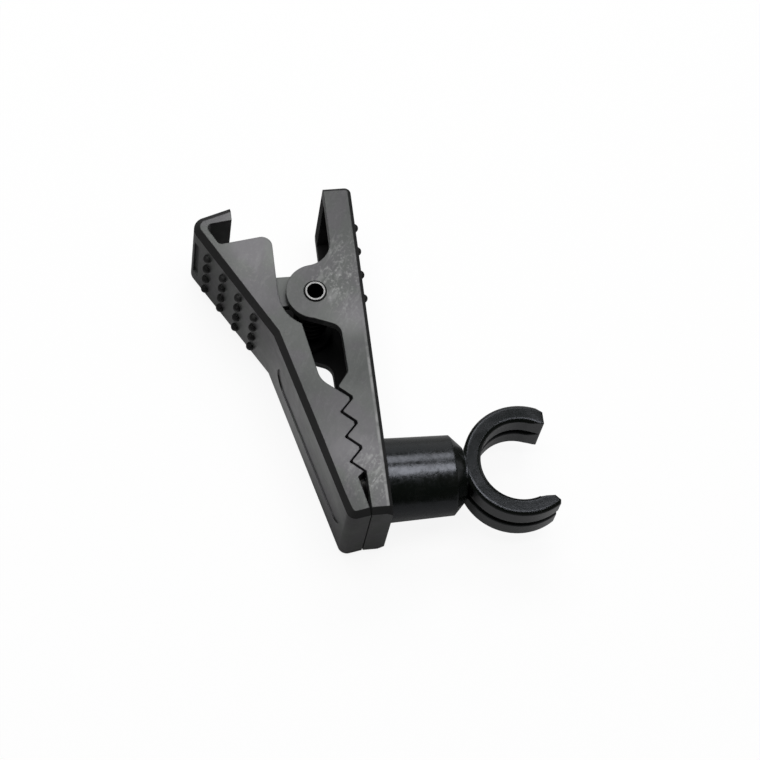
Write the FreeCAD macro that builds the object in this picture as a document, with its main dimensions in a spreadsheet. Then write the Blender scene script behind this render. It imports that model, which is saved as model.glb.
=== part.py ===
# Spring clamp: two moulded levers on a hollow pivot, closed by a torsion spring, with a
# barrel that swivels on the rear lever and carries an open ring.
# Sizes are in millimetres and +Z is up. The origin is on the pivot axis at mid-width.
# X runs along the rear lever's outer plate towards the jaw tip, Y out of that plate towards
# the ring, and Z along the pivot tube.
import FreeCAD, Part
import math
import os
import re
import Sketcher

Vector = FreeCAD.Vector
doc = FreeCAD.newDocument("SpringClamp")
sheet = doc.addObject("Spreadsheet::Sheet", "Sizes")

# Driving dimensions. Places are measured from the pivot axis.
SIZES = {
    # Both levers
    "clamp_width": 16.0,
    "plate": 2.0,
    "side_wall": 1.5,
    "edge_bevel": 0.85,
    "tip_reach": 33.5,
    "tip_block": 3.0,
    # Bite line and teeth, the same for both jaws
    "bite_height": 2.2,
    "bite_slope": 0.052,
    "tooth_start": 14.73,
    "tooth_pitch": 3.72,
    "tooth_rise": 1.46,
    "tooth_crest": 0.45,
    "tooth_fall": 1.6,
    "tooth_depth": 1.6,
    "tooth_gap": 0.4,
    "nose_gap": 0.15,
    "nose_height": 3.8,
    "nose_drop": 1.18,
    "nose_run": 0.7,
    # Front lever
    "front_bend_along": 5.7,
    "front_bend_below": 6.38,
    "waist_inset": 0.6,
    "front_tip_height": 0.8,
    "front_tip_lean": 0.5,
    "front_tip_round": 1.3,
    "hook_back": 12.35,
    "hook_below": 16.8,
    "hook_round": 1.8,
    "lip_back": 14.15,
    "lip_below": 10.5,
    "lip_thick": 2.13,
    "slot_back": 11.55,
    "slot_width": 3.17,
    "slot_round": 0.7,
    "slot_floor": 1.65,
    "front_wall_back": 9.29,
    "front_wall_round": 1.5,
    "front_wall_gap": 0.1,
    "front_throat_start": 3.6,
    "front_throat_slope": 0.1826,
    "front_throat_below": 3.2,
    "front_throat_reach": 13.2,
    "front_throat_round": 3.0,
    "panel_start": 8.1,
    "panel_end": 31.7,
    "panel_width": 5.4,
    "panel_depth": 0.2,
    # Rear lever
    "rear_face": 6.9,
    "rear_handle_back": 16.0,
    "rear_handle_round": 0.9,
    "rear_edge_bevel": 0.5,
    "rear_wall_edge": 2.95,
    "rear_throat_start": 5.5,
    "rear_throat_end": 12.5,
    "rear_throat_edge": 3.15,
    "rear_throat_round": 1.8,
    "rear_throat_end_round": 0.7,
    "rear_flank_along": 3.77,
    "rear_flank_below": 1.35,
    "rear_end_wall": 2.0,
    "rear_ear_blend": 3.7,
    # Pivot
    "rear_ear_radius": 4.1,
    "ear_relief": 1.0,
    "front_ear_radius": 3.3,
    "front_ear_root": 1.2,
    "front_ear_thick": 1.3,
    "ear_side_gap": 0.2,
    "tube_radius": 1.35,
    "tube_bore": 1.12,
    "pivot_clearance": 0.05,
    "countersink": 0.25,
    "lip_spread": 0.1,
    "lip_rise": 0.18,
    "lip_soft": 0.08,
    # Grip studs on the handles, and a grip slot at the front handle's end
    "nub_radius": 0.65,
    "nub_height": 0.77,
    "nub_pitch": 3.7,
    "nub_spacing": 3.3,
    "front_nub_start": 4.38,
    "rear_nub_start": 0.3,
    "grip_slot_start": 17.6,
    "grip_slot_width": 1.2,
    "grip_slot_depth": 0.45,
    "grip_slot_length": 9.4,
    # Spring
    "wire": 0.7,
    "spring_clearance": 0.45,
    "spring_pitch": 1.38,
    "spring_turns": 4.0,
    "spring_front_angle": -33.0,
    "spring_rear_angle": 73.0,
    "spring_front_leg": 8.9,
    "spring_rear_leg": 8.0,
    # Holder
    "holder_from_tip": 7.4,
    "holder_gap": 0.1,
    "barrel_height": 11.35,
    "barrel_base_radius": 5.93,
    "barrel_end_radius": 5.6,
    "barrel_wall": 1.4,
    "barrel_roof": 2.2,
    "barrel_bevel": 1.7,
    "boss_wall": 1.4,
    "ring_bore": 5.75,
    "ring_wall": 2.45,
    "ring_width": 8.0,
    "ring_bevel": 0.42,
    "ring_groove": 0.6,
    "ring_groove_half": 0.75,
    "ring_sink": 0.3,
    "mouth_left": 3.9,
    "lead_in": 5.05,
    "mouth_right_along": 5.11,
    "mouth_right_height": 3.4,
    "mouth_slope": 0.93,
    "ring_end_bevel": 0.7,
    "neck_width": 4.6,
    "neck_depth": 4.8,
    "neck_rise": 1.2,
    # Screw and washer
    "screw_radius": 1.5,
    "screw_reach": 8.0,
    "screw_clearance": 0.05,
    "screw_point": 0.5,
    "thread_clearance": 0.02,
    "bore_clearance": 0.3,
    "head_radius": 2.5,
    "head_height": 1.5,
    "head_round": 0.6,
    "drive_slot": 0.6,
    "drive_length": 3.0,
    "drive_depth": 0.8,
    "washer_radius": 3.0,
    "washer_thick": 0.5,
    "washer_gap": 0.05,
    # How far a cutting outline stands clear of the piece that it cuts
    "cut_margin": 1.0,
}
for row, (alias, value) in enumerate(SIZES.items(), 1):
    sheet.set(f"A{row}", alias.replace("_", " "))
    sheet.set(f"B{row}", str(value))
    sheet.setAlias(f"B{row}", alias)
doc.recompute()

# Tolerances for finding an edge: at a known place, and beside the outline's outer side
NEAR = 0.02
BESIDE = 0.8
ALIAS = re.compile(r"\b(" + "|".join(SIZES) + r")\b")


def size(alias):
    """The present value of one cell."""
    return float(sheet.get(alias))


def cells(text):
    """An expression in plain aliases, written for the sheet."""
    return ALIAS.sub(r"Sizes.\1", text)


# Derived sizes that several pieces share
HALF_WIDTH = "clamp_width / 2"
CHANNEL_HALF = "(clamp_width / 2 - side_wall)"
FRONT_EAR_FACE = f"({CHANNEL_HALF} - ear_side_gap)"
JAW_SLOPE = "((front_tip_height + front_bend_below) / (tip_reach + front_tip_lean - front_bend_along))"
HANDLE_SLOPE = "((hook_below - front_bend_below) / (front_bend_along + hook_back))"
RELIEF = "(rear_ear_radius + ear_relief)"
FRONT_WALL_TOP = f"(-{RELIEF} - front_wall_gap)"
REAR_INNER = "(rear_face - plate)"
HOLDER_ALONG = "(tip_reach - holder_from_tip)"
RING_OUTER = "(ring_bore + ring_wall)"
BARREL_BASE = "(rear_face + holder_gap)"
BARREL_END = f"({BARREL_BASE} + barrel_height)"
RING_CENTRE = f"({BARREL_END} + {RING_OUTER} - ring_sink)"


def slant(slope, along, shift="0"):
    """Height at a place on a line through the front lever's bend, moved inwards by shift."""
    return f"(-front_bend_below + {slope} * ({along} - front_bend_along) + {shift} * sqrt(1 + {slope} ^ 2))"


def bite(along):
    """Height of the bite's middle line."""
    return f"(bite_height + bite_slope * ({along} - tooth_start))"


def origin_part(body, role):
    """One of the body's own origin planes or axes."""
    return next(part for part in body.Origin.OriginFeatures if part.Role == role)


def new_body(label):
    body = doc.addObject("PartDesign::Body", label)
    body.Label = label
    return body


def new_sketch(body, name, plane, offset):
    """A sketch on an origin plane, moved by the offset and tilted about the sketch's own upright."""
    sketch = body.newObject("Sketcher::SketchObject", name)
    sketch.AttachmentSupport = [(origin_part(body, plane), "")]
    sketch.MapMode = "FlatFace"
    sketch.AttachmentOffset = FreeCAD.Placement(Vector(), FreeCAD.Rotation(Vector(0, 1, 0), 0))
    for axis, text in (offset or {}).items():
        target = "Rotation.Angle" if axis == "tilt" else f"Base.{axis}"
        sketch.setExpression(f"AttachmentOffset.{target}", cells(text))
    return sketch


def outline(body, name, points, plane="XY_Plane", offset=None):
    """A closed outline of straight lines, with each corner held by two bound distances."""
    sketch = new_sketch(body, name, plane, offset)
    count = len(points)
    turns = [2 * math.pi * i / count for i in range(count)]
    ring = [Vector(math.cos(turn), math.sin(turn), 0) for turn in turns]
    for i in range(count):
        sketch.addGeometry(Part.LineSegment(ring[i], ring[(i + 1) % count]), False)
    for i in range(count):
        sketch.addConstraint(Sketcher.Constraint("Coincident", i, 2, (i + 1) % count, 1))
    for i, (along, up) in enumerate(points):
        for kind, text, start in (("DistanceX", along, ring[i].x), ("DistanceY", up, ring[i].y)):
            number = sketch.addConstraint(Sketcher.Constraint(kind, -1, 1, i, 1, start))
            sketch.setExpression(f"Constraints[{number}]", cells(text))
    doc.recompute()
    return sketch


def circle(body, name, radius, plane="XY_Plane", offset=None):
    """A circle round the sketch's own origin."""
    sketch = new_sketch(body, name, plane, offset)
    sketch.addGeometry(Part.Circle(Vector(0, 0, 0), Vector(0, 0, 1), 1.0), False)
    sketch.addConstraint(Sketcher.Constraint("Coincident", 0, 3, -1, 1))
    number = sketch.addConstraint(Sketcher.Constraint("Radius", 0, 1.0))
    sketch.setExpression(f"Constraints[{number}]", cells(radius))
    doc.recompute()
    return sketch


def extrude(body, kind, name, sketch, length, both_ways=True, reverse=False):
    """A pad or pocket; a pocket that takes nothing away stops the script."""
    before = body.Shape.Volume if body.Tip else 0.0
    feature = body.newObject(f"PartDesign::{kind}", name)
    feature.Profile = sketch
    feature.SideType = "Symmetric" if both_ways else "One side"
    feature.Reversed = reverse
    feature.setExpression("Length", cells(length))
    doc.recompute()
    if kind == "Pocket" and body.Shape.Volume > before - 1e-6:
        raise RuntimeError(f"{name} cuts nothing")
    return feature


def turn(body, kind, name, sketch, axis="V_Axis"):
    """A full turn of a sketch round one of its own axes."""
    feature = body.newObject(f"PartDesign::{kind}", name)
    feature.Profile = sketch
    feature.ReferenceAxis = (sketch, [axis])
    feature.Angle = 360
    doc.recompute()
    return feature


def mirror(body, name, features):
    feature = body.newObject("PartDesign::Mirrored", name)
    feature.Originals = features
    feature.MirrorPlane = (origin_part(body, "XY_Plane"), [""])
    body.Tip = feature
    doc.recompute()
    return feature


def dress(body, kind, name, edges, amount):
    """A fillet or chamfer on named edges of the body's present tip."""
    if not edges:
        raise RuntimeError(f"{name} finds no edge")
    base = body.Tip
    feature = body.newObject(f"PartDesign::{kind}", name)
    feature.Base = (base, edges)
    feature.setExpression("Radius" if kind == "Fillet" else "Size", cells(amount))
    body.Tip = feature
    doc.recompute()
    return feature


def spot(sketch, index):
    """Solved place of one outline corner."""
    point = sketch.Geometry[index].StartPoint
    return point.x, point.y


def edge_names(shape, wanted):
    return [f"Edge{number}" for number, edge in enumerate(shape.Edges, 1) if wanted(edge)]


def upright_at(spots):
    """Test for an edge parallel to Z that stands at one of the spots."""
    def wanted(edge):
        ends = [vertex.Point for vertex in edge.Vertexes]
        if len(ends) < 2 or math.hypot(ends[0].x - ends[1].x, ends[0].y - ends[1].y) > NEAR:
            return False
        return any(math.hypot(ends[0].x - x, ends[0].y - y) < NEAR for x, y in spots)
    return wanted


def round_corners(body, name, sketch, indices, radius):
    spots = [spot(sketch, index) for index in indices]
    return dress(body, "Fillet", name, edge_names(body.Shape, upright_at(spots)), radius)


def near_chain(chain, reach):
    """Test for an edge, not parallel to Z, whose middle lies close to a chain of corners."""
    def distance(px, py, a, b):
        dx, dy = b[0] - a[0], b[1] - a[1]
        share = ((px - a[0]) * dx + (py - a[1]) * dy) / (dx * dx + dy * dy)
        share = min(1.0, max(0.0, share))
        return math.hypot(px - a[0] - share * dx, py - a[1] - share * dy)

    def wanted(edge):
        ends = [vertex.Point for vertex in edge.Vertexes]
        if len(ends) < 2 or math.hypot(ends[0].x - ends[1].x, ends[0].y - ends[1].y) < NEAR:
            return False
        middle = edge.valueAt((edge.FirstParameter + edge.LastParameter) / 2)
        return any(distance(middle.x, middle.y, a, b) < reach for a, b in zip(chain, chain[1:]))
    return wanted


def narrow_waist(body):
    """Trim both side faces of the front lever: full width at its ends, least at its bend."""
    tip = "tip_reach + front_tip_lean"
    outside = f"({HALF_WIDTH} + cut_margin)"
    side = outline(body, "front_waist_outline", [
        (tip, HALF_WIDTH),
        ("front_bend_along", f"{HALF_WIDTH} - waist_inset"),
        ("-lip_back", HALF_WIDTH),
        ("-lip_back", outside),
        (tip, outside),
    ], plane="XZ_Plane")
    cut = extrude(body, "Pocket", "front_waist_cut", side, "4 * hook_below")
    return mirror(body, "front_waist_cuts", [cut])


def drill_pivot(body, prefix):
    hole = circle(body, f"{prefix}_pivot_circle", "tube_radius + pivot_clearance")
    return extrude(body, "Pocket", f"{prefix}_pivot_hole", hole, "2 * clamp_width")


def add_nubs(body, prefix, along, up, guide, rows):
    """Domed grip studs in rows along the handle and four columns across it."""
    columns = 4
    nub = body.newObject("PartDesign::AdditiveSphere", f"{prefix}_nub")
    nub.setExpression("Radius", cells("nub_radius"))
    nub.setExpression("Placement.Base.x", cells(along))
    nub.setExpression("Placement.Base.y", cells(up))
    nub.setExpression("Placement.Base.z", cells(f"{(1 - columns) / 2} * nub_spacing"))
    doc.recompute()
    grid = body.newObject("PartDesign::LinearPattern", f"{prefix}_nubs")
    grid.Originals = [nub]
    grid.Direction = guide
    grid.Mode = "Spacing"
    grid.setExpression("Offset", cells("nub_pitch"))
    grid.Occurrences = rows
    grid.Direction2 = (origin_part(body, "Z_Axis"), [""])
    grid.Mode2 = "Spacing"
    grid.setExpression("Offset2", cells("nub_spacing"))
    grid.Occurrences2 = columns
    grid.Spacings2 = [-1.0] * (columns - 1)
    body.Tip = grid
    doc.recompute()


def tooth_points(lift):
    """Crests and roots of the zigzag, from the first crest to the last."""
    points = []
    for number in range(4):
        first = f"(tooth_start + tooth_rise + {number} * tooth_pitch)"
        steps = [(first, 1), (f"({first} + tooth_crest)", 1), (f"({first} + tooth_crest + tooth_fall)", -1),
                 (f"(tooth_start + {number + 1} * tooth_pitch)", -1)]
        for along, sign in steps[:4] if number < 3 else steps[:1]:
            points.append((along, f"{bite(along)} + {sign} * tooth_depth / 2 + {lift}"))
    return points


def make_front_lever():
    body = new_body("front_lever")
    nose = "(tooth_start + tooth_rise + 3 * tooth_pitch + nose_run)"
    slot_far = "(slot_width - slot_back)"
    side = outline(body, "front_outline", [
        ("tip_reach + front_tip_lean", "front_tip_height"),
        ("front_bend_along", "-front_bend_below"),
        ("-hook_back", "-hook_below"),
        ("-lip_back", "-lip_below"),
        ("lip_thick - lip_back", "-lip_below"),
        ("-slot_back", slant(HANDLE_SLOPE, "-slot_back", "slot_floor")),
        (slot_far, slant(HANDLE_SLOPE, slot_far, "slot_floor")),
        ("-front_wall_back", FRONT_WALL_TOP),
        ("0", FRONT_WALL_TOP),
        ("front_throat_start", "front_throat_slope * front_throat_start - front_throat_below"),
        ("front_throat_reach", "front_throat_slope * front_throat_reach - front_throat_below"),
    ] + tooth_points("-tooth_gap / 2") + [
        (nose, "nose_height - nose_drop"),
        ("tip_reach", "nose_height"),
    ])
    extrude(body, "Pad", "front_blank", side, "clamp_width")
    chain = [spot(side, index) for index in (side.GeometryCount - 1, 0, 1, 2, 3)]
    round_corners(body, "front_hook_round", side, [2], "hook_round")
    round_corners(body, "front_tip_round", side, [0], "front_tip_round")
    round_corners(body, "front_slot_round", side, [5, 6], "slot_round")
    round_corners(body, "front_wall_end_round", side, [7], "front_wall_round")
    round_corners(body, "front_throat_curve", side, [10], "front_throat_round")
    narrow_waist(body)

    # The channel is open towards the rear lever and ends at the solid tip.
    inner_bend = (f"(front_bend_along + plate * (sqrt(1 + {JAW_SLOPE} ^ 2) - sqrt(1 + {HANDLE_SLOPE} ^ 2))"
                  f" / ({HANDLE_SLOPE} - {JAW_SLOPE}))")
    block = "(tip_reach - tip_block)"
    slot_middle = "(slot_width / 2 - slot_back)"
    channel = outline(body, "front_channel_outline", [
        (block, slant(JAW_SLOPE, block, "plate")),
        (block, "rear_face"),
        (slot_middle, "rear_face"),
        (slot_middle, slant(HANDLE_SLOPE, slot_middle, "plate")),
        (inner_bend, slant(HANDLE_SLOPE, inner_bend, "plate")),
    ])
    extrude(body, "Pocket", "front_channel", channel, f"2 * {CHANNEL_HALF}")

    # Each ear stands inside the rear lever's ear, on a root that joins it to the side wall.
    ear_start = {"z": f"{FRONT_EAR_FACE} - front_ear_thick"}
    root = outline(body, "front_ear_root_outline", [
        ("-front_ear_radius", "0"),
        ("-front_ear_radius", slant(HANDLE_SLOPE, "(-front_ear_radius)", "plate")),
        ("front_ear_root", slant(HANDLE_SLOPE, "front_ear_root", "plate")),
        ("front_ear_root", "0"),
    ], offset=ear_start)
    disc = circle(body, "front_ear_circle", "front_ear_radius", offset=ear_start)
    thick = "front_ear_thick + ear_side_gap"
    root_pad = extrude(body, "Pad", "front_ear_root", root, thick, both_ways=False)
    disc_pad = extrude(body, "Pad", "front_ear_disc", disc, thick, both_ways=False)
    mirror(body, "front_ears", [root_pad, disc_pad])
    relief_start = {"z": FRONT_EAR_FACE}
    relief = circle(body, "front_relief_circle", RELIEF, offset=relief_start)
    shelf = outline(body, "front_shelf_outline", [
        (f"-{RELIEF}", FRONT_WALL_TOP),
        ("0", FRONT_WALL_TOP),
        ("0", "0"),
        (f"-{RELIEF}", "0"),
    ], offset=relief_start)
    relief_cut = extrude(body, "Pocket", "front_relief", relief, HALF_WIDTH, False, True)
    shelf_cut = extrude(body, "Pocket", "front_shelf", shelf, HALF_WIDTH, False, True)
    mirror(body, "front_reliefs", [relief_cut, shelf_cut])
    drill_pivot(body, "front")

    dress(body, "Chamfer", "front_bevel", edge_names(body.Shape, near_chain(chain, BESIDE)), "edge_bevel")

    # A long shallow panel with round ends, left bare, in the middle of the jaw's outer face
    tilt = f"atan({JAW_SLOPE})"
    for name, along in (("front_panel_back", "(panel_start + panel_width / 2)"),
                        ("front_panel_front", "(panel_end - panel_width / 2)")):
        end = circle(body, f"{name}_circle", "panel_width / 2", "XZ_Plane",
                     {"x": along, "z": f"-{slant(JAW_SLOPE, along)}", "tilt": tilt})
        extrude(body, "Pocket", name, end, "panel_depth", both_ways=False)
    along = "(panel_start + panel_width / 2)"
    length = f"((panel_end - panel_start - panel_width) * sqrt(1 + {JAW_SLOPE} ^ 2))"
    panel = outline(body, "front_panel_outline", [
        ("0", "-panel_width / 2"),
        (length, "-panel_width / 2"),
        (length, "panel_width / 2"),
        ("0", "panel_width / 2"),
    ], "XZ_Plane", {"x": along, "z": f"-{slant(JAW_SLOPE, along)}", "tilt": tilt})
    extrude(body, "Pocket", "front_panel", panel, "panel_depth", both_ways=False)

    def on_handle(reach, out):
        """A place at a distance along the handle's outer line from the bend, and out of its face."""
        grade = f"sqrt(1 + {HANDLE_SLOPE} ^ 2)"
        return (f"front_bend_along - ({reach} - {HANDLE_SLOPE} * {out}) / {grade}",
                f"-front_bend_below - ({HANDLE_SLOPE} * {reach} + {out}) / {grade}")

    slot_end = "(grip_slot_start + grip_slot_width)"
    slot = outline(body, "front_grip_slot_outline", [
        on_handle("grip_slot_start", "cut_margin"),
        on_handle("grip_slot_start", "(-grip_slot_depth)"),
        on_handle(slot_end, "(-grip_slot_depth)"),
        on_handle(slot_end, "cut_margin"),
    ])
    extrude(body, "Pocket", "front_grip_slot", slot, "grip_slot_length")
    add_nubs(body, "front", *on_handle("front_nub_start", "(nub_height - nub_radius)"), (side, ["Edge2"]), 4)
    return body


def make_rear_lever():
    body = new_body("rear_lever")
    root = "(tooth_pitch - tooth_rise - tooth_crest - tooth_fall)"
    first_tip = f"(tooth_start - {root})"
    side = outline(body, "rear_outline", [
        ("tip_reach", "rear_face"),
        ("-rear_handle_back", "rear_face"),
        ("-rear_handle_back", "rear_wall_edge"),
        ("0", "rear_wall_edge"),
        ("rear_flank_along", "-rear_flank_below"),
        ("rear_throat_start", "rear_wall_edge"),
        ("rear_throat_end", "rear_throat_edge"),
        (first_tip, f"{bite(first_tip)} - tooth_depth / 2 + tooth_gap / 2"),
        ("tooth_start", "bite_height - tooth_depth / 2 + tooth_gap / 2"),
    ] + tooth_points("tooth_gap / 2") + [
        ("tip_reach", "nose_height + nose_gap"),
    ])
    extrude(body, "Pad", "rear_blank", side, "clamp_width")
    nose, corner, handle_corner, handle_end = [spot(side, index) for index in (side.GeometryCount - 1, 0, 1, 2)]
    round_corners(body, "rear_end_round", side, [1], "rear_handle_round")
    round_corners(body, "rear_throat_curve", side, [5], "rear_throat_round")
    round_corners(body, "rear_throat_end_curve", side, [6], "rear_throat_end_round")
    disc = circle(body, "rear_ear_circle", "rear_ear_radius")
    extrude(body, "Pad", "rear_ear_disc", disc, "clamp_width")
    meeting = (-math.sqrt(size("rear_ear_radius") ** 2 - size("rear_wall_edge") ** 2), size("rear_wall_edge"))
    dress(body, "Fillet", "rear_ear_curve", edge_names(body.Shape, upright_at([meeting])), "rear_ear_blend")

    channel = outline(body, "rear_channel_outline", [
        ("rear_end_wall - rear_handle_back", REAR_INNER),
        ("tip_reach - tip_block", REAR_INNER),
        ("tip_reach - tip_block", "-2 * rear_ear_radius"),
        ("rear_end_wall - rear_handle_back", "-2 * rear_ear_radius"),
    ])
    extrude(body, "Pocket", "rear_channel", channel, f"2 * {CHANNEL_HALF}")
    drill_pivot(body, "rear")
    hole_radius = size("tube_radius") + size("pivot_clearance")

    def outer_rim(edge):
        return (edge.Curve.TypeId == "Part::GeomCircle" and abs(edge.Curve.Radius - hole_radius) < NEAR
                and abs(abs(edge.CenterOfMass.z) - size("clamp_width") / 2) < NEAR)
    dress(body, "Chamfer", "rear_countersink", edge_names(body.Shape, outer_rim), "countersink")
    swivel = circle(body, "rear_swivel_circle", "screw_radius + screw_clearance", "XZ_Plane",
                    {"x": HOLDER_ALONG, "z": "-rear_face"})
    extrude(body, "Pocket", "rear_swivel_hole", swivel, "2 * (plate + cut_margin)")
    long_edges = near_chain([corner, handle_corner, handle_end], BESIDE)
    dress(body, "Chamfer", "rear_bevel", edge_names(body.Shape, long_edges), "rear_edge_bevel")
    tip_edges = near_chain([nose, corner], BESIDE)
    dress(body, "Chamfer", "rear_tip_bevel", edge_names(body.Shape, tip_edges), "edge_bevel")
    add_nubs(body, "rear", "rear_nub_start", "rear_face + nub_height - nub_radius", (side, ["Edge1"]), 4)
    return body


def make_pivot_tube():
    """Hollow rivet with a rolled lip in each countersink."""
    body = new_body("pivot_tube")
    neck = "tube_radius"
    spread = "(tube_radius + lip_spread)"
    profile = outline(body, "tube_profile", [
        ("tube_bore", f"{HALF_WIDTH} + lip_rise"),
        (spread, f"{HALF_WIDTH} + lip_rise"),
        (spread, f"{HALF_WIDTH} - countersink + lip_spread"),
        (neck, f"{HALF_WIDTH} - countersink"),
        (neck, f"countersink - {HALF_WIDTH}"),
        (spread, f"countersink - lip_spread - {HALF_WIDTH}"),
        (spread, f"-{HALF_WIDTH} - lip_rise"),
        ("tube_bore", f"-{HALF_WIDTH} - lip_rise"),
    ], plane="XZ_Plane")
    turn(body, "Revolution", "tube_turn", profile)
    top = size("clamp_width") / 2 + size("lip_rise")

    def lip_rim(edge):
        return abs(abs(edge.CenterOfMass.z) - top) < NEAR and edge.Curve.TypeId == "Part::GeomCircle"
    dress(body, "Fillet", "tube_lip_soft", edge_names(body.Shape, lip_rim), "lip_soft")
    return body


def biarc(start, start_way, end, end_way):
    """Two arcs in a row that leave start and reach end along the given ways."""
    across = end - start
    ways = start_way + end_way
    lean = 1 - start_way.dot(end_way)
    along = across.dot(ways)
    reach = (math.sqrt(along * along + 2 * lean * across.dot(across)) - along) / (2 * lean)
    first_corner = start + start_way * reach
    second_corner = end - end_way * reach
    joint = (first_corner + second_corner) * 0.5
    edges = []
    for a, corner, b in ((start, first_corner, joint), (joint, second_corner, end)):
        half = (corner - a).getAngle(b - a)
        weight = math.cos(half)
        middle = (a + corner * (2 * weight) + b) * (1 / (2 + 2 * weight))
        edges.append(Part.Arc(a, middle, b).toShape())
    return edges


def make_torsion_spring():
    """Wound wire round the pivot tube: a leg on each handle's plate and the turns between them."""
    wire = size("wire")
    coil = size("tube_radius") + size("spring_clearance") + wire / 2
    pitch = size("spring_pitch")
    first_angle = math.radians(size("spring_front_angle"))
    last_angle = math.radians(size("spring_rear_angle") + 360 * size("spring_turns"))
    steps = round((last_angle - first_angle) / math.radians(90))
    swing = (last_angle - first_angle) / steps
    # Each quarter turn climbs a quarter pitch; the first and the last climb half of that, to a level end.
    shares = [1 / 2] + [1.0] * (steps - 2) + [1 / 2]
    ways_up = [0.0] + [1.0] * (steps - 1) + [0.0]
    climb = pitch * swing / (2 * math.pi)
    height = -sum(shares) * climb / 2
    places, ways = [], []
    for step in range(steps + 1):
        angle = first_angle + step * swing
        places.append(Vector(coil * math.cos(angle), coil * math.sin(angle), height))
        way = Vector(-math.sin(angle) * coil * swing, math.cos(angle) * coil * swing, ways_up[step] * climb)
        ways.append(way.normalize())
        if step < steps:
            height += shares[step] * climb
    edges = [Part.LineSegment(places[0] - ways[0] * size("spring_front_leg"), places[0]).toShape()]
    for step in range(steps):
        edges += biarc(places[step], ways[step], places[step + 1], ways[step + 1])
    edges.append(Part.LineSegment(places[-1], places[-1] + ways[-1] * size("spring_rear_leg")).toShape())
    path = Part.Wire(edges)
    start = edges[0].valueAt(edges[0].FirstParameter)
    section = Part.Wire([Part.Circle(start, ways[0], wire / 2).toShape()])
    shell = Part.BRepOffsetAPI.MakePipeShell(path)
    shell.add(section)
    shell.build()
    shell.makeSolid()
    solid = shell.shape()
    report_spring(path, wire, solid)
    feature = doc.addObject("Part::Feature", "torsion_spring")
    feature.Label = "torsion_spring"
    feature.Shape = solid
    feature.Placement = FreeCAD.Placement()
    return feature


def report_spring(path, wire, solid):
    """Print the least gap between the tube's stretches and compare its volume with its length."""
    spacing = wire / 6
    points = path.discretize(Distance=spacing)
    apart = int(3 * wire / spacing)
    least = min(points[a].distanceToPoint(points[b])
                for a in range(len(points)) for b in range(a + apart, len(points)))
    expected = math.pi * wire * wire / 4 * path.Length
    print(f"spring: length {path.Length:.2f}, least gap to itself {least - wire:.3f}, "
          f"volume {solid.Volume:.3f} of {expected:.3f}")


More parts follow.
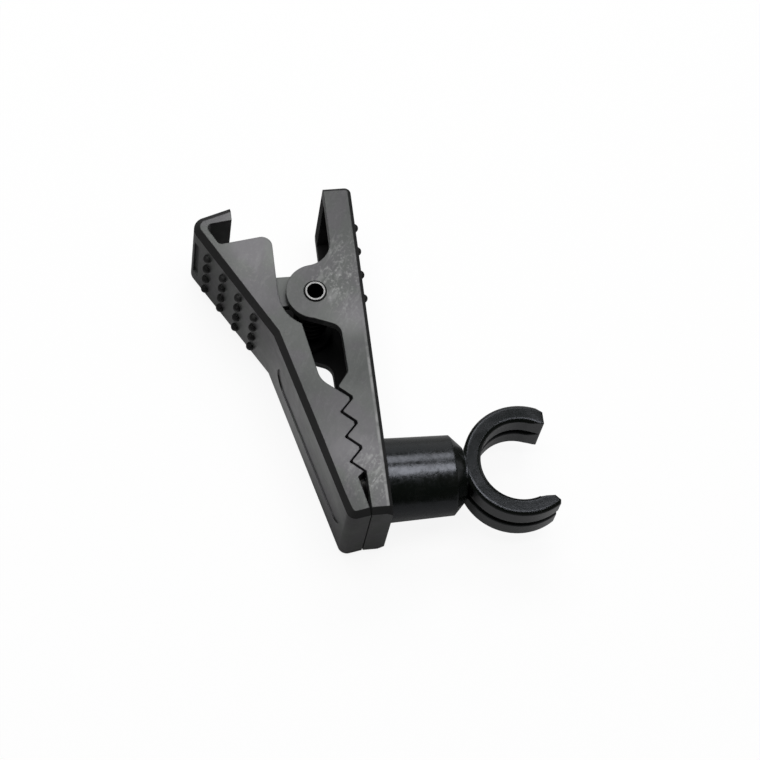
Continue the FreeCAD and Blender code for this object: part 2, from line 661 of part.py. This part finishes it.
def make_ring_holder():
    """Hollow barrel with a screw boss inside and an open ring on its end, one moulding."""
    body = new_body("ring_holder")
    on_axis = {"x": HOLDER_ALONG}
    bore = "(screw_radius + thread_clearance)"
    depth = f"({BARREL_BASE} + screw_reach + bore_clearance)"
    boss = f"({bore} + boss_wall)"
    roof = f"({BARREL_END} - barrel_roof)"
    profile = outline(body, "barrel_profile", [
        ("barrel_base_radius", BARREL_BASE),
        ("barrel_end_radius", BARREL_END),
        ("0", BARREL_END),
        ("0", depth),
        (bore, depth),
        (bore, BARREL_BASE),
        (boss, BARREL_BASE),
        (boss, roof),
        ("barrel_end_radius - barrel_wall", roof),
        ("barrel_base_radius - barrel_wall", BARREL_BASE),
    ], offset=on_axis)
    turn(body, "Revolution", "barrel_turn", profile)
    end_height = size("rear_face") + size("holder_gap") + size("barrel_height")

    def end_rim(edge):
        return (edge.Curve.TypeId == "Part::GeomCircle" and abs(edge.CenterOfMass.y - end_height) < NEAR
                and abs(edge.Curve.Radius - size("barrel_end_radius")) < NEAR)
    dress(body, "Chamfer", "barrel_end_bevel", edge_names(body.Shape, end_rim), "barrel_bevel")

    # The ring's section has bevelled corners and a shallow groove round its middle, inside and out.
    half = "ring_width / 2"
    section = outline(body, "ring_section", [
        ("ring_bore", f"{half} - ring_bevel"),
        ("ring_bore + ring_bevel", half),
        (f"{RING_OUTER} - ring_bevel", half),
        (RING_OUTER, f"{half} - ring_bevel"),
        (RING_OUTER, "ring_groove_half"),
        (f"{RING_OUTER} - ring_groove", "0"),
        (RING_OUTER, "-ring_groove_half"),
        (RING_OUTER, f"ring_bevel - {half}"),
        (f"{RING_OUTER} - ring_bevel", f"-{half}"),
        ("ring_bore + ring_bevel", f"-{half}"),
        ("ring_bore", f"ring_bevel - {half}"),
        ("ring_bore", "-ring_groove_half"),
        ("ring_bore + ring_groove", "0"),
        ("ring_bore", "ring_groove_half"),
    ], plane="XZ_Plane", offset={"x": HOLDER_ALONG, "z": f"-{RING_CENTRE}"})
    turn(body, "Revolution", "ring_turn", section)
    on_ring = {"x": HOLDER_ALONG, "y": RING_CENTRE}
    # The mouth leans on the left inner wall as a lead-in and slopes at the right end, and each
    # end's corners are bevelled.
    grade = "sqrt(1 + mouth_slope ^ 2)"

    def right_end(out, back):
        """A corner of the cut, at a distance out along the right end's face and back into the ring."""
        return (f"mouth_right_along + ({out} + mouth_slope * {back}) / {grade}",
                f"mouth_right_height + (mouth_slope * {out} - {back}) / {grade}")

    far = f"({RING_OUTER} + cut_margin)"
    mouth = outline(body, "mouth_outline", [
        (f"-{far}", "mouth_left - cut_margin - 2 * ring_end_bevel"),
        (f"2 * ring_end_bevel - {RING_OUTER}", "mouth_left"),
        ("-lead_in", "mouth_left"),
        ("-ring_bore", "0"),
        ("0", "0"),
        right_end("(-ring_end_bevel)", "2 * ring_end_bevel"),
        right_end("ring_end_bevel", "0"),
        right_end("(ring_wall - ring_end_bevel)", "0"),
        right_end("(ring_wall + ring_end_bevel)", "2 * ring_end_bevel"),
        (far, far),
        (f"-{far}", far),
    ], offset=on_ring)
    extrude(body, "Pocket", "ring_mouth", mouth, "2 * ring_width")
    neck = outline(body, "neck_outline", [
        ("-neck_width / 2", f"{BARREL_END} - barrel_roof / 2"),
        ("neck_width / 2", f"{BARREL_END} - barrel_roof / 2"),
        ("neck_width / 2", f"{BARREL_END} + neck_rise"),
        ("-neck_width / 2", f"{BARREL_END} + neck_rise"),
    ], offset=on_axis)
    extrude(body, "Pad", "neck", neck, "neck_depth")
    return body


def make_swivel_screw():
    """Pan-head screw, with its head in the rear lever's channel and its shank in the barrel's boss."""
    body = new_body("swivel_screw")
    seat = f"({REAR_INNER} - washer_gap - washer_thick)"
    profile = outline(body, "screw_profile", [
        ("0", f"{seat} - head_height"),
        ("head_radius", f"{seat} - head_height"),
        ("head_radius", seat),
        ("screw_radius", seat),
        ("screw_radius", f"{BARREL_BASE} + screw_reach - screw_point"),
        ("screw_radius - screw_point", f"{BARREL_BASE} + screw_reach"),
        ("0", f"{BARREL_BASE} + screw_reach"),
    ], offset={"x": HOLDER_ALONG})
    turn(body, "Revolution", "screw_turn", profile)
    stack = ("plate", "washer_gap", "washer_thick", "head_height")
    head_face = size("rear_face") - sum(size(alias) for alias in stack)

    def head_rim(edge):
        return edge.Curve.TypeId == "Part::GeomCircle" and abs(edge.CenterOfMass.y - head_face) < NEAR
    dress(body, "Fillet", "head_soft", edge_names(body.Shape, head_rim), "head_round")
    for name, along, across in (("drive_long", "drive_length", "drive_slot"),
                                ("drive_cross", "drive_slot", "drive_length")):
        place = {"x": HOLDER_ALONG, "z": f"head_height - {seat}"}
        recess = outline(body, f"{name}_outline", [
            (f"{along} / 2", f"{across} / 2"),
            (f"-{along} / 2", f"{across} / 2"),
            (f"-{along} / 2", f"-{across} / 2"),
            (f"{along} / 2", f"-{across} / 2"),
        ], plane="XZ_Plane", offset=place)
        extrude(body, "Pocket", name, recess, "2 * drive_depth")
    return body


def make_swivel_washer():
    body = new_body("swivel_washer")
    top = f"({REAR_INNER} - washer_gap)"
    hole = "(screw_radius + screw_clearance)"
    profile = outline(body, "washer_profile", [
        (hole, top),
        ("washer_radius", top),
        ("washer_radius", f"{top} - washer_thick"),
        (hole, f"{top} - washer_thick"),
    ], offset={"x": HOLDER_ALONG})
    turn(body, "Revolution", "washer_turn", profile)
    return body


pieces = [
    make_front_lever(),
    make_rear_lever(),
    make_pivot_tube(),
    make_torsion_spring(),
    make_ring_holder(),
    make_swivel_screw(),
    make_swivel_washer(),
]
doc.recompute()

faults = [item.Name for item in doc.Objects if {"Invalid", "Error"} & set(item.State)]
faults += [piece.Label for piece in pieces if piece.Shape.isNull() or not piece.Shape.isValid()]
if faults:
    raise RuntimeError("failed: " + ", ".join(faults))

os.makedirs("parts", exist_ok=True)
for piece in pieces:
    piece.Shape.exportStep(f"parts/{piece.Label}.step")
    box = piece.Shape.BoundBox
    print(f"{piece.Label}: {len(piece.Shape.Solids)} solid, {piece.Shape.Volume:.1f} mm3, "
          f"x {box.XMin:.2f} {box.XMax:.2f} y {box.YMin:.2f} {box.YMax:.2f} z {box.ZMin:.2f} {box.ZMax:.2f}")
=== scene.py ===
import math

import bmesh
import bpy
from mathutils import Matrix, Vector


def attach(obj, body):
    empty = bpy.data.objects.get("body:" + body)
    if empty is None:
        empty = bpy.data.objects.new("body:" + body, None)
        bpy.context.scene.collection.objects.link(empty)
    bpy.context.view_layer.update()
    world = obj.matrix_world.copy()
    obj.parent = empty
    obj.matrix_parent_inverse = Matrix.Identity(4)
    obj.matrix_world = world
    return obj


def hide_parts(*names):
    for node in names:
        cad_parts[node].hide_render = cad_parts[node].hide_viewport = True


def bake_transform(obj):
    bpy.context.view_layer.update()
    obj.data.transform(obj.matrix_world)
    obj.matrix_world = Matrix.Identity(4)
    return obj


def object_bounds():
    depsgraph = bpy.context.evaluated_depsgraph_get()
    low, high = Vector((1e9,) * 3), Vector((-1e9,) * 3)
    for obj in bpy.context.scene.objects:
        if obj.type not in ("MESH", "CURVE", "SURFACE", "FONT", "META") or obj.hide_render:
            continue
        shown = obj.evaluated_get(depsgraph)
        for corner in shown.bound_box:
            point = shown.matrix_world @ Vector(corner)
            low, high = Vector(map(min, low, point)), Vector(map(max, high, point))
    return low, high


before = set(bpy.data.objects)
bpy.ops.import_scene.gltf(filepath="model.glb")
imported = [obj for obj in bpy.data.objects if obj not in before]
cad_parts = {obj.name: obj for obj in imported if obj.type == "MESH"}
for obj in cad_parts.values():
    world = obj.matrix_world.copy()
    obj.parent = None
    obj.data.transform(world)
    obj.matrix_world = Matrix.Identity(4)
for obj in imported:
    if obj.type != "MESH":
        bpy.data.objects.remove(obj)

# The clamp's looks round the fixed frame. Lengths are in metres, and the axes are the frame's own:
# X along the rear lever towards the jaw tip, Y towards the ring, Z along the pivot tube.
MM = 0.001
cad_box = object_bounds()

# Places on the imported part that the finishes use
PIVOT_BORE = 1.12 * MM
REAR_FACE = 6.9 * MM
REAR_EDGE = 6.4 * MM
NEAR_FACE = 8.0 * MM
INNER_WALL = 6.4 * MM
EAR_SIDE = 6.2 * MM
RING_START = 18.4 * MM
HANDLE_CORNER = Vector((5.7, -6.38, 0)) * MM
HANDLE_OUTWARD = Vector((10.42, -18.05, 0)).normalized()
JAW_OUTWARD = Vector((0.246, -0.969, 0)).normalized()

# Finishes


class Finish:
    """A material and short ways to add texture to it. Textures use the object's own coordinates."""

    def __init__(self, name):
        self.material = bpy.data.materials.new(name)
        self.material.use_nodes = True
        self.nodes = self.material.node_tree.nodes
        self.links = self.material.node_tree.links
        self.shader = self.nodes["Principled BSDF"]
        self.place = self.nodes.new("ShaderNodeTexCoord").outputs["Object"]
        self.x, self.y, self.z = self.parts(self.place)

    def put(self, socket, value):
        """Give a socket a number, a colour or another node's result."""
        if isinstance(value, bpy.types.NodeSocket):
            self.links.new(value, socket)
        else:
            socket.default_value = value

    def look_of(self, colour, roughness, normal):
        """Hand colour, roughness and normal to the shader."""
        for name, value in (("Base Color", colour), ("Roughness", roughness), ("Normal", normal)):
            self.put(self.shader.inputs[name], value)

    def parts(self, vector):
        """The three parts of a vector."""
        apart = self.nodes.new("ShaderNodeSeparateXYZ")
        self.links.new(vector, apart.inputs[0])
        return apart.outputs

    def noise(self, size, detail=3.0, distortion=0.0, stretch=(1, 1, 1), turn=0.0):
        """Noise whose blotches measure about size metres, drawn out by stretch and turned about Z."""
        mapping = self.nodes.new("ShaderNodeMapping")
        mapping.vector_type = "TEXTURE"
        mapping.inputs["Scale"].default_value = stretch
        mapping.inputs["Rotation"].default_value = (0, 0, math.radians(turn))
        self.links.new(self.place, mapping.inputs["Vector"])
        texture = self.nodes.new("ShaderNodeTexNoise")
        texture.inputs["Scale"].default_value = 1.0 / size
        texture.inputs["Detail"].default_value = detail
        texture.inputs["Distortion"].default_value = distortion
        self.links.new(mapping.outputs["Vector"], texture.inputs["Vector"])
        return texture.outputs["Fac"]

    def spread(self, value, low, high, start, end):
        """Map a value between start and end onto low to high, smoothly."""
        ramp = self.nodes.new("ShaderNodeMapRange")
        ramp.interpolation_type = "SMOOTHSTEP"
        for socket, number in (("From Min", start), ("From Max", end), ("To Min", low), ("To Max", high)):
            ramp.inputs[socket].default_value = number
        self.links.new(value, ramp.inputs["Value"])
        return ramp.outputs["Result"]

    def rise(self, value, start, end):
        """0 up to start, 1 from end on."""
        return self.spread(value, 0.0, 1.0, start, end)

    def fall(self, value, start, end):
        """1 up to start, 0 from end on."""
        return self.spread(value, 1.0, 0.0, start, end)

    def math(self, operation, first, second=0.0):
        step = self.nodes.new("ShaderNodeMath")
        step.operation = operation
        self.put(step.inputs[0], first)
        self.put(step.inputs[1], second)
        return step.outputs["Value"]

    def times(self, first, *others):
        result = first
        for value in others:
            result = self.math("MULTIPLY", result, value)
        return result

    def total(self, *values):
        result = values[0]
        for value in values[1:]:
            result = self.math("ADD", result, value)
        return result

    def greater(self, first, second):
        return self.math("MAXIMUM", first, second)

    def blend(self, factor, start, end):
        """A colour between start and end; either may be another node's result."""
        mix = self.nodes.new("ShaderNodeMix")
        mix.data_type = "RGBA"
        colours = [socket for socket in mix.inputs if socket.type == "RGBA"]
        for socket, colour in zip(colours, (start, end)):
            self.put(socket, colour)
        self.links.new(factor, mix.inputs["Factor"])
        return next(socket for socket in mix.outputs if socket.type == "RGBA")

    def soft_edges(self, radius):
        """Shading that rolls over each sharp edge."""
        roll = self.nodes.new("ShaderNodeBevel")
        roll.samples = 6
        roll.inputs["Radius"].default_value = radius
        return roll.outputs["Normal"]

    def bump(self, height, depth, earlier=None):
        """Relief of the given depth, on top of an earlier normal."""
        relief = self.nodes.new("ShaderNodeBump")
        relief.inputs["Distance"].default_value = depth
        relief.inputs["Strength"].default_value = 1.0
        self.links.new(height, relief.inputs["Height"])
        if earlier is not None:
            self.links.new(earlier, relief.inputs["Normal"])
        return relief.outputs["Normal"]

    def patch(self, place, reach):
        """1 round a place given in millimetres, fading to 0 at the reach."""
        away = self.nodes.new("ShaderNodeVectorMath")
        away.operation = "DISTANCE"
        away.inputs[1].default_value = Vector(place) * MM
        self.links.new(self.place, away.inputs[0])
        core = 0.1 * reach
        return self.fall(away.outputs["Value"], core * MM, reach * MM)

    def patches(self, zones, everywhere):
        """Weighted patches on top of a level that holds everywhere."""
        return self.total(*[self.times(self.patch(place, reach), weight) for place, reach, weight in zones],
                          everywhere)

    def edge_bevels(self):
        """1 on the bevels round the flat sides, which face neither along Z nor across it."""
        geometry = self.nodes.new("ShaderNodeNewGeometry")
        along = self.math("ABSOLUTE", self.parts(geometry.outputs["True Normal"])["Z"])
        return self.times(self.rise(along, 0.35, 0.5), self.fall(along, 0.88, 0.96))

    def beyond(self, origin, direction):
        """Distance past a plane through the origin point."""
        dot = self.nodes.new("ShaderNodeVectorMath")
        dot.operation = "DOT_PRODUCT"
        dot.inputs[1].default_value = direction
        self.links.new(self.place, dot.inputs[0])
        return self.math("SUBTRACT", dot.outputs["Value"], origin.dot(direction))


def grey(level, green=1.0, blue=1.0):
    """A grey, whose green and blue may lean a little from its red."""
    return (level, level * green, level * blue, 1)


# Each zone on the levers has a place and a reach in millimetres, and a weight. Z 8 is the side that the
# camera sees, and Z -8 the other.
SCUFF_ZONES = [
    ((-1.0, 3.4, 8.0), 5.5, 0.9),
    ((-6.0, 4.6, 8.0), 3.6, 0.6),
    ((4.0, 4.3, 8.0), 3.0, 0.35),
    ((27.5, 5.4, 8.0), 6.5, 1.0),
    ((-4.5, -8.4, 8.0), 5.0, 0.2),
    ((3.0, 2.4, -8.0), 9.0, 0.5),
]
# Pale bloom, with painted sheen where a zone is lit brighter; zones with negative weights are painted
# shade.
BLOOM_AND_SHEEN_ZONES = [
    ((-9.0, -6.0, 8.0), 9.0, 1.5),
    ((4.5, 4.0, 8.0), 6.0, 0.7),
    ((-2.0, -8.5, 8.0), 6.0, 0.4),
    ((26.0, 3.0, 8.0), 10.0, 0.6),
    ((-12.0, 5.5, 8.0), 7.0, -0.6),
    ((10.5, 4.5, 8.0), 6.0, -0.6),
    ((31.0, -0.5, 8.0), 8.0, -0.7),
    ((15.0, -3.0, 8.0), 6.0, -0.3),
]
SCUFF_EVERYWHERE = 0.08
BLOOM_AND_SHEEN_EVERYWHERE = 0.3

# Plain moulded black leans green or violet, and so does the pale colour of its bloom and painted sheen.
BLACK_GREENISH = grey(0.03, 1.16, 1.06)
BLACK_VIOLET = grey(0.036, 0.96, 1.08)
PALE_GREENISH = grey(0.125, 1.06, 1.0)
PALE_VIOLET = grey(0.13, 0.97, 1.04)
SCUFF_COLOUR = grey(0.26, 1.01)
# Rubbed wear and painted highlight on the rear lever's outer edge.
EDGE_WEAR_AND_HIGHLIGHT_COLOUR = grey(0.2)
# Painted shade: the near black painted on the levers' studs, bevels and hollows.
SHADE_BLACK = grey(0.003)

# The holder's two blacks, and the cool tint of its reflections
HOLDER_GREENISH = grey(0.004, 1.3)
HOLDER_OLIVE = grey(0.007, 1.1, 0.9)
HOLDER_REFLECTION = (0.86, 0.89, 1.0, 1)


def lever_scuffs(look):
    """Strokes and dots round the pivot, on the rear jaw and more weakly everywhere."""
    streak = look.noise(0.9 * MM, 4.0, 0.8, (2.4, 0.8, 1.5), -32)
    speck = look.noise(0.45 * MM)
    strokes = look.rise(streak, 0.48, 0.70)
    dots = look.rise(speck, 0.52, 0.68)
    worn = look.patches(SCUFF_ZONES, SCUFF_EVERYWHERE)
    return look.times(worn, look.total(look.times(strokes, 0.55), look.times(dots, 0.5)))


def lever_edge_wear_and_highlight(look, cloud):
    """The rear lever's outer edge along the jaw: a pale line of rubbed wear and painted highlight."""
    line = look.math("ABSOLUTE", look.math("SUBTRACT", look.y, REAR_EDGE - 0.2 * MM))
    near_line = look.fall(line, 0.03 * MM, 0.32 * MM)
    on_jaw = look.rise(look.x, 2 * MM, 12 * MM)
    on_side = look.rise(look.z, NEAR_FACE - 0.5 * MM, NEAR_FACE - 0.2 * MM)
    return look.times(near_line, on_jaw, on_side, look.spread(cloud, 0.2, 1.0, 0.35, 0.6))


def lever_studs(look):
    """1 on the grip studs, which stand out of the handles' faces."""
    foot, top = 0.02 * MM, 0.12 * MM
    past_handle = look.rise(look.beyond(HANDLE_CORNER, HANDLE_OUTWARD), foot, top)
    front = look.times(past_handle, look.fall(look.x, 3 * MM, 4 * MM))
    rear = look.rise(look.y, REAR_FACE + foot, REAR_FACE + top)
    return look.greater(front, rear)


def lever_hollows(look):
    """1 in the hollows between the side walls, behind the levers' outer plates."""
    with_bore_shade = look.times(look.fall(look.z, EAR_SIDE - 0.35 * MM, EAR_SIDE - 0.1 * MM),
                        look.rise(look.z, -INNER_WALL - 0.3 * MM, -INNER_WALL - 0.1 * MM))
    from_plates = [
        look.beyond(HANDLE_CORNER, HANDLE_OUTWARD),
        look.beyond(HANDLE_CORNER, JAW_OUTWARD),
        look.math("SUBTRACT", look.y, REAR_FACE),
    ]
    return look.times(with_bore_shade, *[look.fall(away, -1.2 * MM, -0.8 * MM) for away in from_plates])


def lever_plastic():
    """Black moulded plastic: eroded grain, flow marks, pale bloom with painted sheen and shade, scuffs, a
    rubbed edge with a painted highlight, and painted shade on the studs, bevels and hollows.
    """
    look = Finish("lever_plastic")
    flow = look.noise(7 * MM, 3.0, 0.8)
    cloud = look.noise(1.7 * MM, 4.0, 0.5)
    grain = look.noise(0.22 * MM, 2.0)
    cast = look.rise(look.noise(5 * MM, 2.0, 0.4), 0.4, 0.6)

    # Pale bloom and painted sheen, with painted shade where a zone's weight is negative.
    bloom_and_sheen = look.times(look.patches(BLOOM_AND_SHEEN_ZONES, BLOOM_AND_SHEEN_EVERYWHERE), look.spread(flow, 0.5, 1.0, 0.3, 0.7))
    pale = look.blend(cast, PALE_GREENISH, PALE_VIOLET)
    colour = look.blend(bloom_and_sheen, look.blend(cast, BLACK_GREENISH, BLACK_VIOLET), pale)
    colour = look.blend(lever_scuffs(look), colour, SCUFF_COLOUR)
    # Rubbed wear and painted highlight along the rear lever's outer edge.
    colour = look.blend(lever_edge_wear_and_highlight(look, cloud), colour, EDGE_WEAR_AND_HIGHLIGHT_COLOUR)

    # Painted shade: the studs, the bevels and the hollows are painted near black, darker than the flat
    # sides.
    hollows = lever_hollows(look)
    painted_shade = look.greater(look.greater(lever_studs(look), look.times(look.edge_bevels(), 0.95)), hollows)
    colour = look.blend(painted_shade, colour, SHADE_BLACK)

    roughness = look.total(look.spread(flow, 0.41, 0.48, 0.3, 0.7),
                           look.spread(cloud, -0.02, 0.02, 0.3, 0.7),
                           look.times(painted_shade, 0.25), look.times(hollows, 0.25))
    normal = look.bump(flow, 0.03 * MM, look.soft_edges(0.2 * MM))
    normal = look.bump(cloud, 0.008 * MM, normal)
    look.look_of(colour, roughness, look.bump(grain, 0.009 * MM, normal))
    return look.material


def holder_plastic():
    """Black plastic: a glossy barrel with a wavy, mottled skin, and a smoother ring."""
    look = Finish("holder_plastic")
    wave = look.noise(1.5 * MM, 3.0, 0.8, (1, 1.6, 1))
    mottle = look.noise(0.5 * MM, 3.0, 0.3)
    grain = look.noise(0.3 * MM, 2.0)
    flow = look.noise(6 * MM, 3.0, 0.6)
    on_ring = look.rise(look.y, RING_START - 0.3 * MM, RING_START + 0.3 * MM)
    on_barrel = look.math("SUBTRACT", 1.0, on_ring)
    colour = look.blend(look.rise(flow, 0.35, 0.65), HOLDER_GREENISH, HOLDER_OLIVE)
    barrel = look.total(look.spread(wave, 0.08, 0.16, 0.35, 0.65),
                        look.spread(mottle, 0.08, 0.17, 0.38, 0.64))
    ring = look.spread(flow, 0.15, 0.2, 0.3, 0.7)
    roughness = look.total(look.times(barrel, on_barrel), look.times(ring, on_ring))
    uneven = look.times(look.total(wave, look.times(mottle, 0.6)), on_barrel)
    normal = look.bump(uneven, 0.022 * MM, look.soft_edges(0.4 * MM))
    look.look_of(colour, roughness, look.bump(grain, 0.004 * MM, normal))
    look.shader.inputs["Specular Tint"].default_value = HOLDER_REFLECTION
    return look.material


def metal(name, level, rough, grain, with_bore_shade=False):
    """Worn metal of a grey level and a roughness; with bore shade, the inside of the pivot's bore is
    painted dark as shade.
    """
    look = Finish(name)
    wear = look.noise(grain, 4.0)
    look.shader.inputs["Metallic"].default_value = 1.0
    colour = look.blend(look.rise(wear, 0.3, 0.7), grey(0.7 * level), grey(level, 1.0, 0.98))
    roughness = look.spread(wear, rough - 0.06, rough + 0.06, 0.3, 0.7)
    # Painted shade: the inside of the pivot's bore is painted near black and made rougher.
    if with_bore_shade:
        squares = look.total(look.times(look.x, look.x), look.times(look.y, look.y))
        radius = look.math("POWER", squares, 0.5)
        bore_shade_mask = look.fall(radius, PIVOT_BORE + 0.01 * MM, PIVOT_BORE + 0.05 * MM)
        colour = look.blend(bore_shade_mask, colour, grey(0.006))
        roughness = look.total(roughness, look.times(bore_shade_mask, 0.4))
    look.look_of(colour, roughness, look.bump(wear, 0.004 * MM))
    return look.material


lever_look = lever_plastic()
holder_look = holder_plastic()
rivet_look = metal("rivet_metal", 0.26, 0.5, 0.5 * MM, with_bore_shade=True)
spring_look = metal("spring_steel", 0.03, 0.5, 0.4 * MM)
screw_look = metal("screw_steel", 0.5, 0.32, 0.6 * MM)

# Pieces. Points this close are one, faces this flat are joined, and steeper edges stay sharp.
SAME_POINT = 0.0005 * MM
SAME_PLANE = math.radians(0.3)
SHARP = math.radians(32)


def packed_copy(node, name, look):
    """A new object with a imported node's mesh and its own material."""
    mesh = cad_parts[node].data.copy()
    mesh.materials.clear()
    mesh.materials.append(look)
    piece = bpy.data.objects.new(name, mesh)
    bpy.context.scene.collection.objects.link(piece)
    return piece


def moulding(node, name, look):
    """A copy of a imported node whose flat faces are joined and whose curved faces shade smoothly."""
    piece = packed_copy(node, name, look)
    work = bmesh.new()
    work.from_mesh(piece.data)
    bmesh.ops.remove_doubles(work, verts=work.verts, dist=SAME_POINT)
    bmesh.ops.dissolve_limit(work, angle_limit=SAME_PLANE, verts=work.verts, edges=work.edges)
    for face in work.faces:
        face.smooth = True
    for edge in work.edges:
        edge.smooth = edge.calc_face_angle(0.0) < SHARP
    work.to_mesh(piece.data)
    work.free()
    even = piece.modifiers.new("even_normals", "WEIGHTED_NORMAL")
    even.keep_sharp = True
    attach(piece, node)
    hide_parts(node)


moulding("front_lever", "front_lever_moulding", lever_look)
moulding("rear_lever", "rear_lever_moulding", lever_look)
moulding("ring_holder", "ring_holder_moulding", holder_look)

# The spring twists between the levers, with one leg on each lever.
spring = packed_copy("torsion_spring", "torsion_spring_wire", spring_look)
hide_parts("torsion_spring")
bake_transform(spring)

for node, look in (("pivot_tube", rivet_look), ("swivel_screw", screw_look), ("swivel_washer", screw_look)):
    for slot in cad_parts[node].material_slots:
        slot.material = look

# Camera: the photograph's viewing angle
CAMERA_PLACE = Vector((0.1483, -0.0416, 0.3319))
CAMERA_RIGHT = Vector((0.12535, 0.98728, 0.0974)).normalized()
CAMERA_AHEAD = Vector((-0.3789, 0.13833, -0.915)).normalized()
PHOTO_SIDE = 760.0
FOCAL_PIXELS = 2560.3


def add_camera():
    data = bpy.data.cameras.new("camera")
    data.sensor_fit = "HORIZONTAL"
    data.angle = 2 * math.atan(PHOTO_SIDE / 2 / FOCAL_PIXELS)
    data.clip_start = 0.01
    up = CAMERA_RIGHT.cross(CAMERA_AHEAD)
    turn = Matrix((CAMERA_RIGHT, up, -CAMERA_AHEAD)).transposed().to_4x4()
    camera = bpy.data.objects.new("camera", data)
    camera.matrix_world = Matrix.Translation(CAMERA_PLACE) @ turn
    bpy.context.scene.collection.objects.link(camera)
    bpy.context.scene.camera = camera


# Stage: a white floor that keeps a faint shadow, two softboxes with a dark gap between, a dim side card
FLOOR_SIZE = 6.0
FLOOR_ALONG = 0.01
FLOOR_SEEN = grey(0.95)
FLOOR_UNSEEN = grey(0.3)
CLAMP_MIDDLE = Vector((0.012, 0.006, 0))

# Painted reflection: a floor strip beside the front jaw glows for reflected rays only, so that the jaw's
# outer face shows it. The strip starts and ends along X, and stays on the jaw's side across it.
STRIP_START = (-22 * MM, 4 * MM)
STRIP_END = (18 * MM, 23 * MM)
STRIP_SIDE = (-7 * MM, -1 * MM)


def add_floor(height, seen_share, gloss_share, jaw_reflection_share):
    """A matt floor that the camera sees nearly white, and gloss sees dim but for a strip that glows as a
    painted reflection.
    """
    bpy.ops.mesh.primitive_plane_add(size=FLOOR_SIZE, location=(FLOOR_ALONG, 0.0, height))
    floor = bpy.context.object
    floor.name = "floor"
    look = Finish("floor_white")
    look.nodes.remove(look.shader)
    matt = look.nodes.new("ShaderNodeBsdfDiffuse")
    glow = look.nodes.new("ShaderNodeEmission")
    ray = look.nodes.new("ShaderNodeLightPath").outputs
    look.put(matt.inputs["Color"], look.blend(ray["Is Camera Ray"], FLOOR_UNSEEN, FLOOR_SEEN))
    # Painted reflection: the strip glows only for glossy and transmission rays.
    strip = look.times(look.rise(look.x, *STRIP_START), look.fall(look.x, *STRIP_END),
                       look.fall(look.y, *STRIP_SIDE))
    in_gloss = look.total(look.times(strip, jaw_reflection_share), gloss_share)
    bounced = look.greater(ray["Is Glossy Ray"], ray["Is Transmission Ray"])
    share = look.greater(look.times(ray["Is Camera Ray"], seen_share), look.times(bounced, in_gloss))
    mix = look.nodes.new("ShaderNodeMixShader")
    look.links.new(share, mix.inputs["Fac"])
    look.links.new(matt.outputs["BSDF"], mix.inputs[1])
    look.links.new(glow.outputs["Emission"], mix.inputs[2])
    look.links.new(mix.outputs["Shader"], look.nodes["Material Output"].inputs["Surface"])
    floor.data.materials.append(look.material)


def add_lamp(name, tilt, distance, width, length, radiance):
    """A rectangular soft lamp that faces the clamp; its tilt from straight above leans towards -X."""
    data = bpy.data.lights.new(name, "AREA")
    data.shape = "RECTANGLE"
    data.size = width
    data.size_y = length
    data.energy = radiance * math.pi * width * length
    lamp = bpy.data.objects.new(name, data)
    lean = math.radians(tilt)
    across = Vector((math.cos(lean), 0, math.sin(lean)))
    away = Vector((-math.sin(lean), 0, math.cos(lean)))
    turn = Matrix((across, away.cross(across), away)).transposed().to_4x4()
    lamp.matrix_world = Matrix.Translation(CLAMP_MIDDLE + away * distance) @ turn
    bpy.context.scene.collection.objects.link(lamp)


def add_surroundings(level):
    world = bpy.data.worlds.new("surroundings")
    bpy.context.scene.world = world
    world.use_nodes = True
    background = world.node_tree.nodes["Background"]
    background.inputs["Color"].default_value = (1, 1, 1, 1)
    background.inputs["Strength"].default_value = level


add_camera()
add_floor(cad_box[0][2], seen_share=0.9, gloss_share=0.06, jaw_reflection_share=0.7)
add_lamp("overhead_softbox", tilt=2.5, distance=0.6, width=0.25, length=0.5, radiance=7.0)
add_lamp("second_softbox", tilt=37.0, distance=0.6, width=0.2, length=0.5, radiance=4.5)
add_lamp("side_card", tilt=75.0, distance=0.6, width=0.4, length=0.5, radiance=0.6)
add_surroundings(0.015)
bpy.context.scene.view_settings.view_transform = "Standard"
